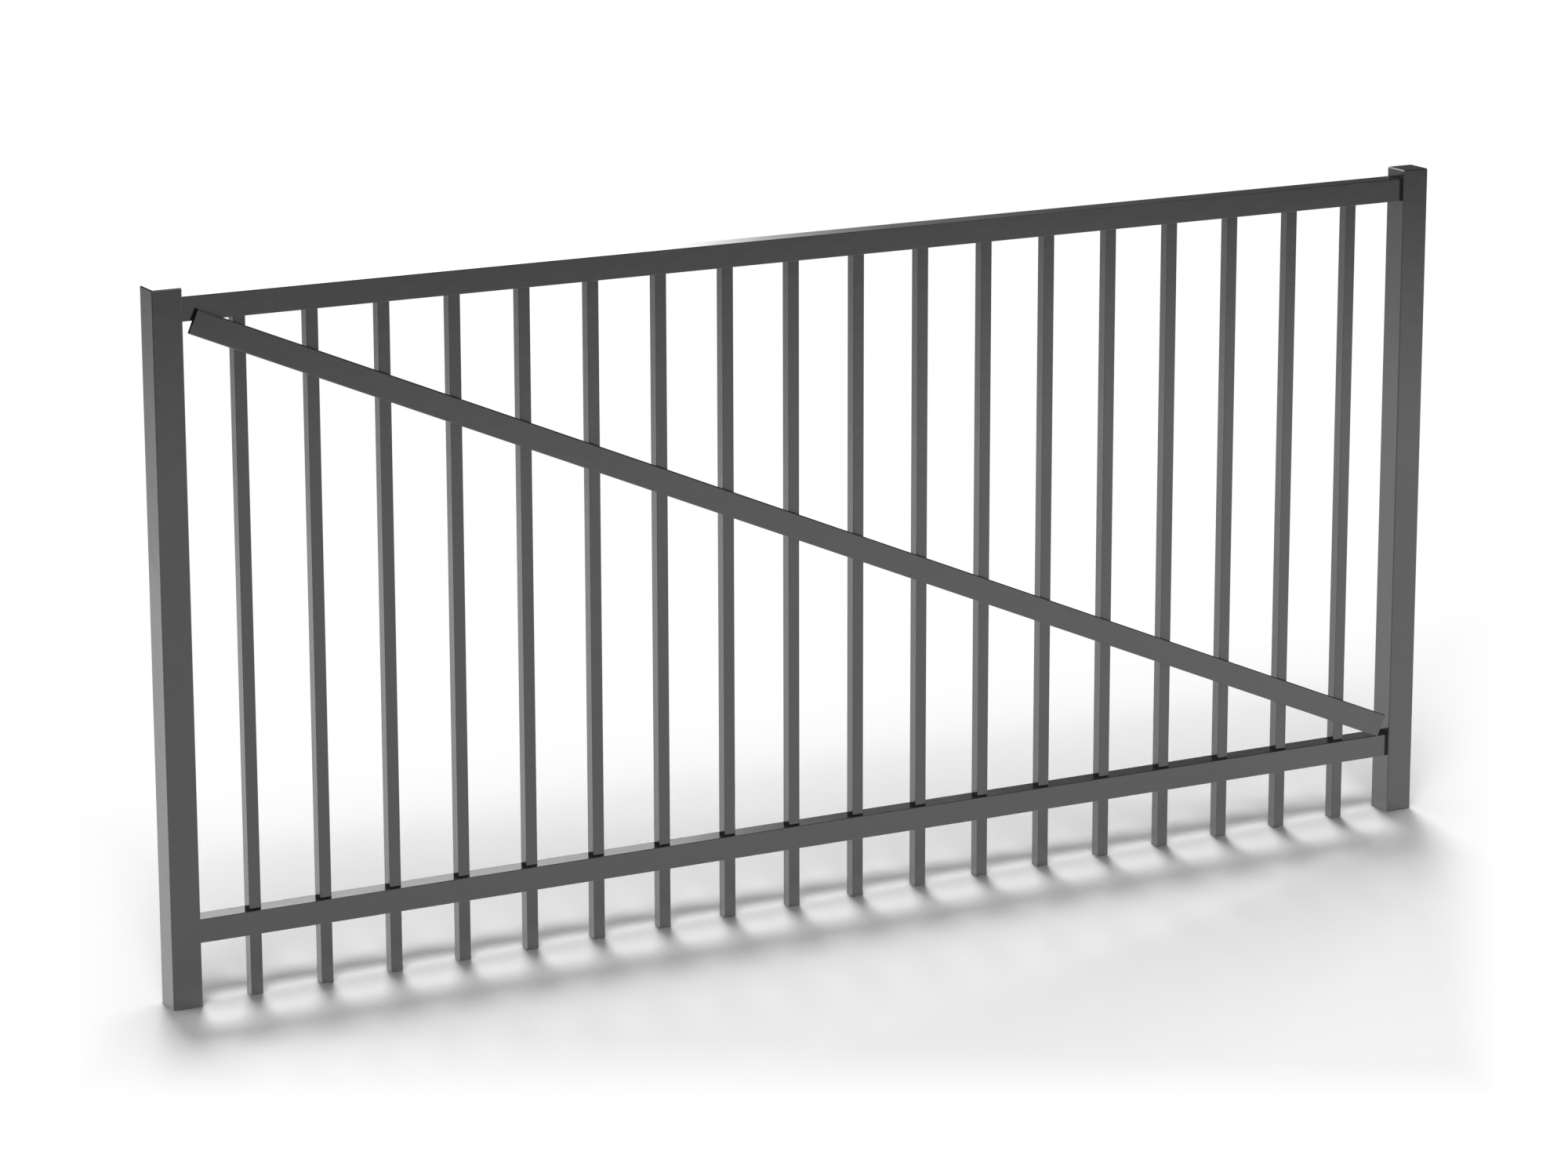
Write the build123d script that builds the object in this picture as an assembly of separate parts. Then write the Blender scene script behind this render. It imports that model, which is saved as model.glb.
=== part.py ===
"""Flat top fence gate leaf with a diagonal brace, in millimetres.

The leaf lies in the XZ plane: +X runs from the hinge upright to the latch upright, +Z is up and -Y is the
braced front. The origin is on the outer face of the hinge upright, on its centre line, at the foot.
Square pickets hang in a downward-open top channel and pass through punched holes in the bottom one.
"""

import os
from math import atan2, cos, degrees, hypot, radians, sin

from build123d import *

# Leaf
LEAF_WIDTH = 2425.0
LEAF_HEIGHT = 1183.0

# Uprights, square tube
UPRIGHT_SIZE = 50.8
UPRIGHT_WALL = 3.2
UPRIGHT_CORNER = 2.0

# Caps on the uprights
CAP_PLATE = 4.0
CAP_BEVEL = 1.8
CAP_SKIRT_DEPTH = 10.0
CAP_SKIRT_WALL = 2.0
CAP_CLEARANCE = 0.2

# Rails, channel open at the bottom
RAIL_DEPTH = 36.2
RAIL_HEIGHT = 40.0
RAIL_SIDE_WALL = 2.3
RAIL_WEB = 2.0
RAIL_CORNER = 1.2
RAIL_TIP_ROUND = 0.6
RAIL_RIB = 2.0
RAIL_RIB_ABOVE_TIP = 11.0
TOP_RAIL_DROP = 15.5
BOTTOM_RAIL_UNDERSIDE = 105.5
MORTISE_CLEARANCE = 0.25
RAIL_TENON = 22.0

# Pickets, square tube
PICKET_COUNT = 18
PICKET_SIZE = 20.6
PICKET_WALL = 1.6
PICKET_CORNER = 1.0
PICKET_END_GAP = 91.3
PICKET_CLEARANCE = 0.25

# Diagonal brace, flat rectangular tube on the front of the rails
BRACE_WIDTH = 41.6
BRACE_DEPTH = 8.0
BRACE_WALL = 1.6
BRACE_CORNER = 2.0
BRACE_END_GAP = 10.0
BRACE_RISE_OVER_BOTTOM_RAIL = 1.0
BRACE_SPACER_RADIUS = 8.0

# Places that follow from the sizes above
LATCH_FACE_X = LEAF_WIDTH
HINGE_INNER_X = UPRIGHT_SIZE
LATCH_INNER_X = LEAF_WIDTH - UPRIGHT_SIZE
TUBE_TOP_Z = LEAF_HEIGHT - CAP_PLATE
TOP_RAIL_TOP = LEAF_HEIGHT - TOP_RAIL_DROP
TOP_RAIL_UNDERSIDE = TOP_RAIL_TOP - RAIL_HEIGHT
BOTTOM_RAIL_TOP = BOTTOM_RAIL_UNDERSIDE + RAIL_HEIGHT
RAIL_FRONT_Y = -RAIL_DEPTH / 2
RAIL_RIB_REACH = (RAIL_DEPTH - PICKET_SIZE) / 2 - RAIL_SIDE_WALL - PICKET_CLEARANCE
PICKET_FRONT_Y = -PICKET_SIZE / 2
PICKET_TOP_Z = TOP_RAIL_TOP - RAIL_WEB
FIRST_PICKET_X = HINGE_INNER_X + PICKET_END_GAP + PICKET_SIZE / 2
LAST_PICKET_X = LATCH_INNER_X - PICKET_END_GAP - PICKET_SIZE / 2
PICKET_PITCH = (LAST_PICKET_X - FIRST_PICKET_X) / (PICKET_COUNT - 1)
PICKET_XS = [FIRST_PICKET_X + i * PICKET_PITCH for i in range(PICKET_COUNT)]


def tube_section(width, depth, wall, corner):
    """Face of an extruded rectangular tube: round outer corners and sharp inner ones."""
    return RectangleRounded(width, depth, corner) - Rectangle(width - 2 * wall, depth - 2 * wall)


def upright(centre_x, inner_side):
    """Square tube upright, with a mortise for each rail in the wall that faces the pickets."""
    section = tube_section(UPRIGHT_SIZE, UPRIGHT_SIZE, UPRIGHT_WALL, UPRIGHT_CORNER)
    body = Pos(centre_x, 0, 0) * extrude(section, TUBE_TOP_Z)
    wall_x = centre_x + inner_side * (UPRIGHT_SIZE - UPRIGHT_WALL) / 2
    for underside in (BOTTOM_RAIL_UNDERSIDE, TOP_RAIL_UNDERSIDE):
        mortise = Box(
            2 * UPRIGHT_WALL,
            RAIL_DEPTH + 2 * MORTISE_CLEARANCE,
            RAIL_HEIGHT + 2 * MORTISE_CLEARANCE,
        )
        body -= Pos(wall_x, 0, underside + RAIL_HEIGHT / 2) * mortise
    return body


def upright_cap(centre_x):
    """Flat cap with a bevelled rim, and a square skirt that plugs the tube."""
    plate = extrude(RectangleRounded(UPRIGHT_SIZE, UPRIGHT_SIZE, UPRIGHT_CORNER), CAP_PLATE)
    plate = chamfer(plate.faces().sort_by(Axis.Z)[-1].edges(), CAP_BEVEL)
    skirt_size = UPRIGHT_SIZE - 2 * (UPRIGHT_WALL + CAP_CLEARANCE)
    skirt_section = tube_section(skirt_size, skirt_size, CAP_SKIRT_WALL, UPRIGHT_CORNER)
    skirt = Pos(0, 0, -CAP_SKIRT_DEPTH) * extrude(skirt_section, CAP_SKIRT_DEPTH)
    return Pos(centre_x, 0, TUBE_TOP_Z) * (plate + skirt)


def rail_section():
    """Channel profile in the YZ plane, underside at Z 0, with a guide rib inside each leg."""
    outer = Pos(0, RAIL_HEIGHT / 2) * Rectangle(RAIL_DEPTH, RAIL_HEIGHT)
    outer = fillet(outer.vertices().group_by(Axis.Y)[-1], RAIL_CORNER)
    inside_height = RAIL_HEIGHT - RAIL_WEB
    inside = Pos(0, inside_height / 2) * Rectangle(RAIL_DEPTH - 2 * RAIL_SIDE_WALL, inside_height)
    profile = outer - inside
    profile = fillet(profile.vertices().group_by(Axis.Y)[0], RAIL_TIP_ROUND)
    for side in (-1, 1):
        rib_centre = side * (RAIL_DEPTH / 2 - RAIL_SIDE_WALL - RAIL_RIB_REACH / 2)
        rib_height = RAIL_RIB_ABOVE_TIP + RAIL_RIB / 2
        profile += Pos(rib_centre, rib_height) * Rectangle(RAIL_RIB_REACH, RAIL_RIB)
    return Plane.YZ * profile


def rail(underside, punched):
    """Rail from inside one upright to inside the other. A punched web lets the pickets pass."""
    start_x = HINGE_INNER_X - RAIL_TENON
    length = LATCH_INNER_X - HINGE_INNER_X + 2 * RAIL_TENON
    body = Pos(start_x, 0, underside) * extrude(rail_section(), length)
    if punched:
        hole_size = PICKET_SIZE + 2 * PICKET_CLEARANCE
        hole = extrude(Rectangle(hole_size, hole_size), 2 * RAIL_WEB)
        web_z = underside + RAIL_HEIGHT - 1.5 * RAIL_WEB
        body -= [Pos(x, 0, web_z) * hole for x in PICKET_XS]
    return body


def picket(centre_x):
    """Square tube picket from the ground line to the underside of the top rail's web."""
    section = tube_section(PICKET_SIZE, PICKET_SIZE, PICKET_WALL, PICKET_CORNER)
    return Pos(centre_x, 0, 0) * extrude(section, PICKET_TOP_Z)


def brace_line():
    """Mid points of the brace's two square-cut ends, as (x, z), and its slope in degrees."""
    angle = 0.0
    for _ in range(8):
        half_x = BRACE_WIDTH / 2 * sin(radians(angle))
        half_z = BRACE_WIDTH / 2 * cos(radians(angle))
        high = (HINGE_INNER_X + BRACE_END_GAP + half_x, TOP_RAIL_UNDERSIDE)
        low_z = BOTTOM_RAIL_TOP + BRACE_RISE_OVER_BOTTOM_RAIL + half_z
        low = (LATCH_INNER_X - BRACE_END_GAP - half_x, low_z)
        angle = degrees(atan2(high[1] - low[1], low[0] - high[0]))
    return high, low, angle


def diagonal_brace():
    """Flat tube on the rails' front, from the top hinge corner down to the low latch corner."""
    high, low, angle = brace_line()
    length = hypot(low[0] - high[0], high[1] - low[1])
    section = tube_section(BRACE_DEPTH, BRACE_WIDTH, BRACE_WALL, BRACE_CORNER)
    bar = Rot(0, 90, 0) * Rot(0, 0, 90) * extrude(section, length)
    return Pos(high[0], RAIL_FRONT_Y - BRACE_DEPTH / 2, high[1]) * Rot(0, angle, 0) * bar


def brace_spacers():
    """Round spacers that carry the brace off each picket, behind the brace's centre line."""
    high, _, angle = brace_line()
    thickness = PICKET_FRONT_Y - RAIL_FRONT_Y
    spacer = Rot(90, 0, 0) * Cylinder(BRACE_SPACER_RADIUS, thickness)
    mid_y = (PICKET_FRONT_Y + RAIL_FRONT_Y) / 2
    drop = sin(radians(angle)) / cos(radians(angle))
    return [Pos(x, mid_y, high[1] - (x - high[0]) * drop) * spacer for x in PICKET_XS]


def build_parts():
    hinge_centre_x = UPRIGHT_SIZE / 2
    latch_centre_x = LATCH_FACE_X - UPRIGHT_SIZE / 2
    parts = {
        "hinge_upright": upright(hinge_centre_x, 1),
        "latch_upright": upright(latch_centre_x, -1),
        "hinge_upright_cap": upright_cap(hinge_centre_x),
        "latch_upright_cap": upright_cap(latch_centre_x),
        "top_rail": rail(TOP_RAIL_UNDERSIDE, punched=False),
        "bottom_rail": rail(BOTTOM_RAIL_UNDERSIDE, punched=True),
        "diagonal_brace": diagonal_brace(),
        "brace_spacers": Compound(children=brace_spacers()),
    }
    for number, x in enumerate(PICKET_XS, start=1):
        parts[f"picket_{number:02d}"] = picket(x)
    return parts


os.makedirs("parts", exist_ok=True)
for node, shape in build_parts().items():
    export_step(shape, f"parts/{node}.step")
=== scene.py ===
"""Looks of the flat top fence gate: glossy black powder coat in a white studio, around the CAD frame."""
from math import cos, pi, radians, sin

import bmesh
import bpy
from mathutils import Matrix, Vector


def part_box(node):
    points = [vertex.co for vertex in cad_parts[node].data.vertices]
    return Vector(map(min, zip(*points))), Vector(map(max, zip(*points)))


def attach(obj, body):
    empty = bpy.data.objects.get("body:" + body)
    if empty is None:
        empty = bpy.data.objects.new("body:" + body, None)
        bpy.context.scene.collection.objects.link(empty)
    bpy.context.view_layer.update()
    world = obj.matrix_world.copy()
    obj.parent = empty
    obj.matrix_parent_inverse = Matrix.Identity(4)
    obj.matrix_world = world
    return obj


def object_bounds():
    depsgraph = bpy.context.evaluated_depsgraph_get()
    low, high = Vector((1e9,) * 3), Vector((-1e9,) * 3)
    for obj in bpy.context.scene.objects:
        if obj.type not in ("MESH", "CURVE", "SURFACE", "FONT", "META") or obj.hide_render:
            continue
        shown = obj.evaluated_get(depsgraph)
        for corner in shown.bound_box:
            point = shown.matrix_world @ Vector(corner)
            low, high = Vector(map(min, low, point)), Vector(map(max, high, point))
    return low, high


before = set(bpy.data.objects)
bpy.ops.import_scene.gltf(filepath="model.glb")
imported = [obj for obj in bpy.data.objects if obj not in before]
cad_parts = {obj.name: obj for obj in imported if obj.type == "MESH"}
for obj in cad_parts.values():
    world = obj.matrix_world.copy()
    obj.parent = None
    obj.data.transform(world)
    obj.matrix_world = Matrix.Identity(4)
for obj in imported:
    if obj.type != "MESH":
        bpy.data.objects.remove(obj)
cad_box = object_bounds()
scene = bpy.context.scene
scene.view_settings.view_transform = "Standard"

# The photograph's camera: bearing from +Y towards +X, dip and roll in degrees, place in metres, and focal
# length in pixels of a picture of this width
VIEW_AZIMUTH = 28.476167
VIEW_ELEVATION = 13.910258
VIEW_ROLL = -0.095212
VIEW_PLACE = (-2.954635, -7.542020, 2.688563)
PHOTO_FOCAL_LENGTH = 6652.554
PHOTO_WIDTH = 2000.0
SENSOR_WIDTH = 36.0

# Patterns in the powder coat, in waves per metre, and its glossy layers
SPECKLE_WAVES = 420.0
CLOUD_WAVES = 22.0
SAG_WAVES = 38.0
PEEL_WAVES = 260.0
PAINT_IOR = 1.6
COAT_ROUGHNESS = 0.10

# Screw head in metres, and its profile as parts of its radius and height
SCREW_RADIUS = 0.0042
SCREW_HEIGHT = 0.0022
SCREW_SIDES = 24
SCREW_FOOT = 0.96
SCREW_RIM_HEIGHT = 0.12
SCREW_DOME_STEPS = 6
SCREW_DOME_CENTRE = 0.48
SCREW_TOP = 0.46
SOCKET_MOUTH = 0.42
SOCKET_MOUTH_HEIGHT = 0.97
SOCKET_END = 0.40
SOCKET_END_HEIGHT = 0.35
# Each screw is turned by this much more than the one before it, in radians
SCREW_TURN = 2.399

# The camera sees the floor's light times this contrast, less a part of white
FLOOR_CONTRAST = 1.5
FLOOR_LESS = 0.575
# The floor fades to white between two values of Y behind the gate, two in front of it and two distances
# from the camera, and to the sides between two shares of the depth in the view
FLOOR_FADE_BEHIND = (0.70, 1.15)
FLOOR_FADE_AHEAD = (-1.90, -0.40)
FLOOR_FADE_NEAR = (7.60, 7.90)
FLOOR_FADE_ACROSS = (0.116, 0.1325)
# That depth is the distance along the floor from the camera's foot, plus this
FLOOR_DEPTH_START = 0.67
FLOOR_REACH = 60.0

# The floor's grey for bounced light, and the part of white that mirror rays see mixed into it
FLOOR_GREY = 0.9
FLOOR_WHITE_IN_MIRRORS = 0.5
# In front of the gate that white starts a little below 1 at the origin, and rises by so much a metre along
# X and along Y. Behind the gate it is 1, and it changes over between two values of Y.
MIRROR_RISE_X = 0.12
MIRROR_RISE_Y = 0.11
MIRROR_LESS = 0.10
MIRROR_RISE_ENDS = (-0.1, 0.2)

# Sun lamps light alike from any distance, and this one only keeps them clear of the gate
LAMP_DISTANCE = 8.0
WORLD_LIGHT = 0.134

# The flats stand round this X, in facets of so many degrees
GATE_MIDDLE_X = (cad_box[0][0] + cad_box[1][0]) / 2
FLAT_FACET = 4


# Camera, solved from the photograph's edges

def place_camera():
    azimuth, elevation, roll = radians(VIEW_AZIMUTH), radians(VIEW_ELEVATION), radians(VIEW_ROLL)
    forward = Vector((sin(azimuth) * cos(elevation), cos(azimuth) * cos(elevation), -sin(elevation)))
    level = Vector((cos(azimuth), -sin(azimuth), 0.0))
    upright = level.cross(forward)
    right = cos(roll) * level + sin(roll) * upright
    up = cos(roll) * upright - sin(roll) * level
    data = bpy.data.cameras.new("camera")
    data.sensor_width = SENSOR_WIDTH
    data.lens = PHOTO_FOCAL_LENGTH / PHOTO_WIDTH * SENSOR_WIDTH
    data.clip_end = 200.0
    camera = bpy.data.objects.new("camera", data)
    matrix = Matrix((right, up, -forward)).transposed().to_4x4()
    matrix.translation = VIEW_PLACE
    camera.matrix_world = matrix
    scene.collection.objects.link(camera)
    scene.camera = camera


# Shader nodes

def new_material(name):
    material = bpy.data.materials.new(name)
    material.use_nodes = True
    tree = material.node_tree
    tree.nodes.clear()
    output = tree.nodes.new("ShaderNodeOutputMaterial")
    return material, tree, output


def noise(tree, coords, scale, detail, roughness=0.5):
    """Noise value in object space; scale is in waves per metre."""
    node = tree.nodes.new("ShaderNodeTexNoise")
    node.inputs["Scale"].default_value = scale
    node.inputs["Detail"].default_value = detail
    node.inputs["Roughness"].default_value = roughness
    tree.links.new(coords, node.inputs["Vector"])
    return node.outputs["Fac"]


def to_range(tree, value, low, high, from_low=0.3, from_high=0.7):
    """Value brought from one range to another and clamped; most noise lies in the default range."""
    node = tree.nodes.new("ShaderNodeMapRange")
    node.inputs["From Min"].default_value = from_low
    node.inputs["From Max"].default_value = from_high
    node.inputs["To Min"].default_value = low
    node.inputs["To Max"].default_value = high
    tree.links.new(value, node.inputs["Value"])
    return node.outputs["Result"]


def math_node(tree, operation, first, second=None):
    """Result of a math node on one or two values, each a socket or a number."""
    node = tree.nodes.new("ShaderNodeMath")
    node.operation = operation
    for socket, value in zip(node.inputs, (first, second)):
        if isinstance(value, bpy.types.NodeSocket):
            tree.links.new(value, socket)
        elif value is not None:
            socket.default_value = value
    return node.outputs["Value"]


def axes(tree, vector):
    """X, Y and Z of a vector."""
    node = tree.nodes.new("ShaderNodeSeparateXYZ")
    tree.links.new(vector, node.inputs["Vector"])
    return node.outputs


def bump(tree, height, distance, under=None):
    """Normal of a surface with bumps as high as the distance, in metres, on top of another normal."""
    node = tree.nodes.new("ShaderNodeBump")
    node.inputs["Strength"].default_value = 1.0
    node.inputs["Distance"].default_value = distance
    tree.links.new(height, node.inputs["Height"])
    if under is not None:
        tree.links.new(under, node.inputs["Normal"])
    return node.outputs["Normal"]


def seen_by(tree, *kinds):
    """1 for rays of the named kinds, such as Camera or Glossy, and 0 for the others."""
    path = tree.nodes.new("ShaderNodeLightPath")
    total = path.outputs[f"Is {kinds[0]} Ray"]
    for kind in kinds[1:]:
        total = math_node(tree, "MAXIMUM", total, path.outputs[f"Is {kind} Ray"])
    return total


def blend_shaders(tree, factor, first, second):
    """First shader where the factor, a socket or a number, is 0, and second where it is 1."""
    blend = tree.nodes.new("ShaderNodeMixShader")
    if isinstance(factor, float):
        blend.inputs["Fac"].default_value = factor
    else:
        tree.links.new(factor, blend.inputs["Fac"])
    tree.links.new(first, blend.inputs[1])
    tree.links.new(second, blend.inputs[2])
    return blend.outputs["Shader"]


def ramp(tree, value, stops):
    """Grey level through (place, level) stops, for a value of 0 at the first stop and 1 at the last."""
    node = tree.nodes.new("ShaderNodeValToRGB")
    start, end = stops[0][0], stops[-1][0]
    while len(node.color_ramp.elements) < len(stops):
        node.color_ramp.elements.new(0.5)
    for element, (place, level) in zip(node.color_ramp.elements, stops):
        element.position = (place - start) / (end - start)
        element.color = (level, level, level, 1.0)
    tree.links.new(value, node.inputs["Fac"])
    return node.outputs["Color"]


# Materials

def powder_coat(name, dark, light, roughness, peel, sag):
    """Black powder coat: faint mottling, orange peel and a slow waviness that shows at a grazing angle.

    Its colour varies from dark to light and its roughness over a range. Peel and sag are the heights of
    its bumps in metres.
    """
    material, tree, output = new_material(name)
    coords = tree.nodes.new("ShaderNodeTexCoord").outputs["Object"]
    shader = tree.nodes.new("ShaderNodeBsdfPrincipled")
    tint = tree.nodes.new("ShaderNodeMix")
    tint.data_type = "RGBA"
    tint.inputs["A"].default_value = (*dark, 1.0)
    tint.inputs["B"].default_value = (*light, 1.0)
    speckle = to_range(tree, noise(tree, coords, SPECKLE_WAVES, detail=3.0), 0.0, 1.0)
    tree.links.new(speckle, tint.inputs["Factor"])
    tree.links.new(tint.outputs["Result"], shader.inputs["Base Color"])
    clouds = to_range(tree, noise(tree, coords, CLOUD_WAVES, detail=4.0), *roughness)
    tree.links.new(clouds, shader.inputs["Roughness"])
    shader.inputs["IOR"].default_value = PAINT_IOR
    shader.inputs["Coat Weight"].default_value = 1.0
    shader.inputs["Coat IOR"].default_value = PAINT_IOR
    shader.inputs["Coat Roughness"].default_value = COAT_ROUGHNESS
    waves = bump(tree, noise(tree, coords, SAG_WAVES, detail=2.0, roughness=0.45), sag)
    grain = bump(tree, noise(tree, coords, PEEL_WAVES, detail=2.0), peel, under=waves)
    tree.links.new(grain, shader.inputs["Normal"])
    tree.links.new(grain, shader.inputs["Coat Normal"])
    tree.links.new(shader.outputs["BSDF"], output.inputs["Surface"])
    return material


# Screws: button heads with a hexagon socket, on the faces that look to the back

def screw_ring(radius, height, hexagon=False):
    ring = []
    for i in range(SCREW_SIDES):
        angle = 2 * pi * i / SCREW_SIDES
        reach = radius
        if hexagon:
            reach = radius * cos(pi / 6) / cos((angle % (pi / 3)) - pi / 6)
        ring.append(Vector((reach * cos(angle), reach * sin(angle), height)))
    return ring


def screw_mesh(name):
    """Button head standing on Z 0, as one closed mesh."""
    rings = [screw_ring(SCREW_RADIUS * SCREW_FOOT, 0.0)]
    rings.append(screw_ring(SCREW_RADIUS, SCREW_HEIGHT * SCREW_RIM_HEIGHT))
    for part in range(1, SCREW_DOME_STEPS):
        angle = radians(90) * part / SCREW_DOME_STEPS
        reach = SCREW_DOME_CENTRE + (1 - SCREW_DOME_CENTRE) * cos(angle)
        rise = SCREW_RIM_HEIGHT + (1 - SCREW_RIM_HEIGHT) * sin(angle)
        rings.append(screw_ring(SCREW_RADIUS * reach, SCREW_HEIGHT * rise))
    rings.append(screw_ring(SCREW_RADIUS * SCREW_TOP, SCREW_HEIGHT))
    rings.append(screw_ring(SCREW_RADIUS * SOCKET_MOUTH, SCREW_HEIGHT * SOCKET_MOUTH_HEIGHT, hexagon=True))
    rings.append(screw_ring(SCREW_RADIUS * SOCKET_END, SCREW_HEIGHT * SOCKET_END_HEIGHT, hexagon=True))
    mesh = bmesh.new()
    loops = [[mesh.verts.new(point) for point in ring] for ring in rings]
    for lower, upper in zip(loops, loops[1:]):
        for i in range(SCREW_SIDES):
            j = (i + 1) % SCREW_SIDES
            mesh.faces.new((lower[i], lower[j], upper[j], upper[i]))
    mesh.faces.new(list(reversed(loops[0])))
    mesh.faces.new(loops[-1])
    for face in mesh.faces:
        face.smooth = len(face.verts) == 4
    data = bpy.data.meshes.new(name)
    mesh.to_mesh(data)
    mesh.free()
    return data


def add_screws(name, places, material):
    """One mesh of screw heads, each pointing to +Y at its place."""
    master = screw_mesh(name + "_master")
    joined = bmesh.new()
    stand = Matrix.Rotation(radians(-90), 4, "X")
    for number, place in enumerate(places):
        turn = Matrix.Rotation(number * SCREW_TURN, 4, "Z")
        copy = master.copy()
        copy.transform(Matrix.Translation(place) @ stand @ turn)
        joined.from_mesh(copy)
        bpy.data.meshes.remove(copy)
    data = bpy.data.meshes.new(name)
    joined.to_mesh(data)
    joined.free()
    bpy.data.meshes.remove(master)
    data.materials.append(material)
    piece = bpy.data.objects.new(name, data)
    scene.collection.objects.link(piece)
    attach(piece, "root")


def middle_x(node):
    low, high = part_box(node)
    return (low[0] + high[0]) / 2


def screw_places():
    """Screw heads on the rails' back faces, and on the pickets' backs where the brace crosses."""
    pickets = sorted(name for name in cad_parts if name.startswith("picket_"))
    spots = {}
    for rail in ("top_rail", "bottom_rail"):
        low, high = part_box(rail)
        middle_z = (low[2] + high[2]) / 2
        spots[rail] = [Vector((middle_x(name), high[1], middle_z)) for name in pickets]
    low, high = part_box("brace_spacers")
    start_x, end_x = middle_x(pickets[0]), middle_x(pickets[-1])
    spacer_radius = start_x - low[0]
    start_z, end_z = high[2] - spacer_radius, low[2] + spacer_radius
    spots["brace"] = []
    for name in pickets:
        x, back_y = middle_x(name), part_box(name)[1][1]
        along = (x - start_x) / (end_x - start_x)
        spots["brace"].append(Vector((x, back_y, start_z * (1 - along) + end_z * along)))
    return spots


# Studio: floor, lamps, reflection panels and world

def floor_fade(tree, coords, place):
    """0 on the patch of floor that takes the shadow, and 1 where the floor has faded to white."""
    turn = tree.nodes.new("ShaderNodeMapping")
    turn.vector_type = "TEXTURE"
    turn.inputs["Location"].default_value = (VIEW_PLACE[0], VIEW_PLACE[1], 0.0)
    turn.inputs["Rotation"].default_value = (0.0, 0.0, -radians(VIEW_AZIMUTH))
    tree.links.new(coords, turn.inputs["Vector"])
    view = axes(tree, turn.outputs["Vector"])
    depth = math_node(tree, "ADD", view["Y"], FLOOR_DEPTH_START)
    across = math_node(tree, "ABSOLUTE", math_node(tree, "DIVIDE", view["X"], depth))
    fade = to_range(tree, place["Y"], 0.0, 1.0, *FLOOR_FADE_BEHIND)
    for part in (to_range(tree, place["Y"], 1.0, 0.0, *FLOOR_FADE_AHEAD),
                 to_range(tree, view["Y"], 1.0, 0.0, *FLOOR_FADE_NEAR),
                 to_range(tree, across, 0.0, 1.0, *FLOOR_FADE_ACROSS)):
        fade = math_node(tree, "MAXIMUM", fade, part)
    return fade


def floor_to_camera(tree, fade):
    """What the camera sees: the floor's shadow with a print's contrast, and white where it has faded."""
    lit = tree.nodes.new("ShaderNodeBsdfDiffuse")
    tree.links.new(to_range(tree, fade, FLOOR_CONTRAST, 0.0, 0.0, 1.0), lit.inputs["Color"])
    level = tree.nodes.new("ShaderNodeEmission")
    tree.links.new(to_range(tree, fade, -FLOOR_LESS, 1.0, 0.0, 1.0), level.inputs["Strength"])
    seen = tree.nodes.new("ShaderNodeAddShader")
    tree.links.new(lit.outputs["BSDF"], seen.inputs[0])
    tree.links.new(level.outputs["Emission"], seen.inputs[1])
    return seen.outputs["Shader"]


def floor_in_mirrors(tree, place, paper):
    """What mirror rays see: paper mixed with a white that changes along X and Y in front of the gate."""
    rise = math_node(tree, "MULTIPLY", place["X"], MIRROR_RISE_X)
    rise = math_node(tree, "ADD", rise, math_node(tree, "MULTIPLY", place["Y"], MIRROR_RISE_Y))
    rise = math_node(tree, "SUBTRACT", rise, MIRROR_LESS)
    in_front = to_range(tree, place["Y"], 1.0, 0.0, *MIRROR_RISE_ENDS)
    rise = math_node(tree, "MULTIPLY", rise, in_front)
    white = tree.nodes.new("ShaderNodeEmission")
    tree.links.new(math_node(tree, "ADD", rise, 1.0), white.inputs["Strength"])
    return blend_shaders(tree, FLOOR_WHITE_IN_MIRRORS, paper, white.outputs["Emission"])


def add_floor():
    """White floor, seen in one way by the camera, in another by mirror rays, and as paper by other light."""
    material, tree, output = new_material("studio_floor")
    coords = tree.nodes.new("ShaderNodeTexCoord").outputs["Object"]
    place = axes(tree, coords)
    paper = tree.nodes.new("ShaderNodeBsdfDiffuse")
    paper.inputs["Color"].default_value = (FLOOR_GREY, FLOOR_GREY, FLOOR_GREY, 1.0)
    seen = floor_to_camera(tree, floor_fade(tree, coords, place))
    mirrored = floor_in_mirrors(tree, place, paper.outputs["BSDF"])
    mirror_rays = seen_by(tree, "Glossy", "Transmission")
    surface = blend_shaders(tree, mirror_rays, paper.outputs["BSDF"], mirrored)
    surface = blend_shaders(tree, seen_by(tree, "Camera"), surface, seen)
    tree.links.new(surface, output.inputs["Surface"])
    mesh = bpy.data.meshes.new("floor")
    corners = [(x * FLOOR_REACH, y * FLOOR_REACH, 0) for x, y in ((-1, -1), (1, -1), (1, 1), (-1, 1))]
    mesh.from_pydata(corners, [], [(0, 1, 2, 3)])
    mesh.materials.append(material)
    floor = bpy.data.objects.new("floor", mesh)
    scene.collection.objects.link(floor)


def add_lamp(name, bearing, elevation, spread, level):
    """Far softbox. Its bearing runs from 0, straight behind the gate, to 90, beyond the latch upright.

    The spread is how wide it looks from the gate, in degrees, and the level is what it alone would make of
    a white floor, where 1 is white. Mirror rays see the flats in its place.
    """
    bearing, elevation = radians(bearing), radians(elevation)
    away = Vector((sin(bearing) * cos(elevation), cos(bearing) * cos(elevation), sin(elevation)))
    data = bpy.data.lights.new(name, "SUN")
    data.angle = radians(spread)
    data.energy = level * pi / away.z
    lamp = bpy.data.objects.new(name, data)
    lamp.location = away * LAMP_DISTANCE
    lamp.rotation_euler = (-away).to_track_quat("-Z", "Y").to_euler()
    lamp.visible_camera = False
    lamp.visible_glossy = False
    scene.collection.objects.link(lamp)


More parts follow.
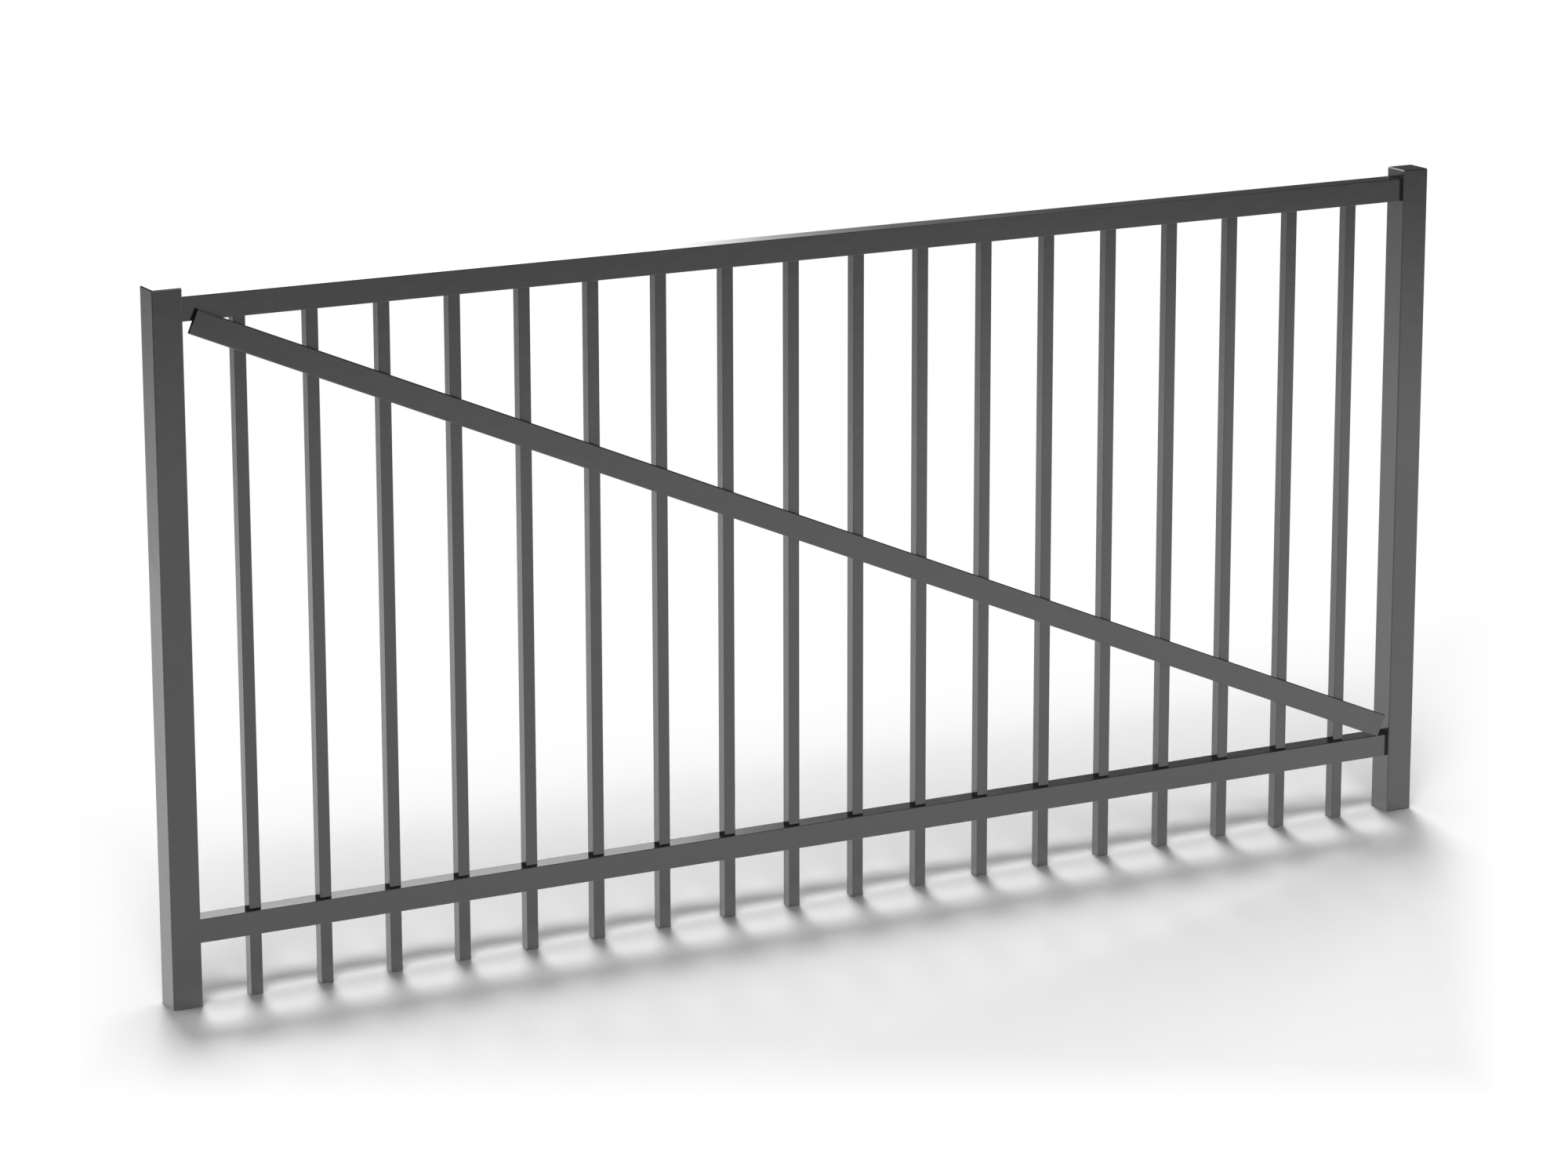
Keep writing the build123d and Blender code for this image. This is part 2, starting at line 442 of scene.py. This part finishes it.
def flat_mesh(name, radius, start, end, bottom, top):
    """Curved wall between two angles in degrees, with a UV map from 0 to 1 along it and up it."""
    steps = int((end - start) / FLAT_FACET)
    mesh = bmesh.new()
    layer = mesh.loops.layers.uv.new("UVMap")
    rows = []
    for i in range(steps + 1):
        angle = radians(start + (end - start) * i / steps)
        x, y = GATE_MIDDLE_X + radius * sin(angle), radius * cos(angle)
        rows.append((mesh.verts.new((x, y, bottom)), mesh.verts.new((x, y, top))))
    for i in range(steps):
        (a, b), (c, d) = rows[i], rows[i + 1]
        face = mesh.faces.new((a, c, d, b))
        corners = ((i, 0), (i + 1, 0), (i + 1, 1), (i, 1))
        for loop, (across, height) in zip(face.loops, corners):
            loop[layer].uv = (across / steps, height)
    data = bpy.data.meshes.new(name)
    mesh.to_mesh(data)
    mesh.free()
    return data


def add_flat(name, radius, by_angle, by_height, strength=1.0):
    """Curved studio flat round the gate that only mirror rays see.

    Its brightness is graded through (degrees, level) stops by angle, 0 being straight behind the gate and
    90 beyond the latch upright, and through (metres, level) stops by height.
    """
    material, tree, output = new_material(name)
    glow = tree.nodes.new("ShaderNodeEmission")
    glow.inputs["Strength"].default_value = strength
    place = axes(tree, tree.nodes.new("ShaderNodeTexCoord").outputs["UV"])
    both = tree.nodes.new("ShaderNodeMix")
    both.data_type = "RGBA"
    both.blend_type = "MULTIPLY"
    both.inputs["Factor"].default_value = 1.0
    tree.links.new(ramp(tree, place["X"], by_angle), both.inputs["A"])
    tree.links.new(ramp(tree, place["Y"], by_height), both.inputs["B"])
    tree.links.new(both.outputs["Result"], glow.inputs["Color"])
    tree.links.new(glow.outputs["Emission"], output.inputs["Surface"])
    data = flat_mesh(name, radius, by_angle[0][0], by_angle[-1][0], by_height[0][0], by_height[-1][0])
    data.materials.append(material)
    flat = bpy.data.objects.new(name, data)
    for kind in ("camera", "diffuse", "shadow", "transmission", "volume_scatter"):
        setattr(flat, "visible_" + kind, False)
    scene.collection.objects.link(flat)


def add_reflections():
    """Flats all round, paler low down, and one bright card at the back for the upward faces."""
    all_round = ((0, 1.0), (28, 1.0), (31.5, 2.7), (35, 2.0), (37.7, 1.45), (41, 1.3), (46, 1.15), (60, 1.1),
                 (90, 1.0), (125, 1.5), (133, 1.36), (141, 1.33),
                 (150, 1.15), (162, 1.0), (180, 0.97), (300, 1.0), (360, 1.0))
    low_is_pale = ((0.0, 0.82), (0.33, 0.65), (0.6, 0.42), (0.85, 0.16), (0.99, 0.05), (1.3, 0.05),
                   (1.9, 0.09), (5.0, 0.06))
    add_flat("studio_flats", radius=3.6, by_angle=all_round, by_height=low_is_pale)
    card_sides = ((-14, 0.05), (-6, 1.0), (22.6, 1.0), (26.6, 0.35), (28.8, 0.20), (31.5, 0.11))
    card_heights = ((0.9, 0.05), (1.1, 0.40), (1.35, 0.47), (1.75, 1.0), (4.5, 1.0), (4.7, 0.3))
    add_flat("back_card", radius=3.5, by_angle=card_sides, by_height=card_heights, strength=2.1)


def background(tree, strength):
    node = tree.nodes.new("ShaderNodeBackground")
    node.inputs["Color"].default_value = (1.0, 1.0, 1.0, 1.0)
    node.inputs["Strength"].default_value = strength
    return node.outputs["Background"]


def add_world():
    """White background for the camera and mirror rays; the light from all round is plain and weak."""
    world = bpy.data.worlds.new("studio")
    scene.world = world
    world.use_nodes = True
    tree = world.node_tree
    tree.nodes.clear()
    output = tree.nodes.new("ShaderNodeOutputWorld")
    shown = seen_by(tree, "Camera", "Glossy", "Transmission")
    surface = blend_shaders(tree, shown, background(tree, WORLD_LIGHT), background(tree, 1.0))
    tree.links.new(surface, output.inputs["Surface"])


place_camera()
coat = powder_coat("black_powder_coat_look", dark=(0.009, 0.009, 0.0092), light=(0.014, 0.014, 0.0142),
                   roughness=(0.20, 0.27), peel=0.000018, sag=0.00022)
screw_coat = powder_coat("screw_coat_look", dark=(0.008, 0.008, 0.008), light=(0.013, 0.013, 0.013),
                         roughness=(0.24, 0.34), peel=0.000012, sag=0.00002)
spacer_coat = powder_coat("spacer_look", dark=(0.010, 0.010, 0.010), light=(0.016, 0.016, 0.016),
                          roughness=(0.45, 0.6), peel=0.00002, sag=0.00002)
for node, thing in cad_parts.items():
    for slot in thing.material_slots:
        slot.material = spacer_coat if node == "brace_spacers" else coat
for group, places in screw_places().items():
    add_screws(group + "_screws", places, screw_coat)
add_floor()
add_lamp("back_softbox", bearing=18.6, elevation=32.6, spread=21.0, level=0.318)
add_lamp("front_softbox", bearing=213.4, elevation=60.5, spread=23.3, level=0.357)
add_lamp("right_top_softbox", bearing=65.2, elevation=69.8, spread=19.4, level=0.098)
add_lamp("left_top_softbox", bearing=276.1, elevation=70.1, spread=31.9, level=0.094)
add_reflections()
add_world()
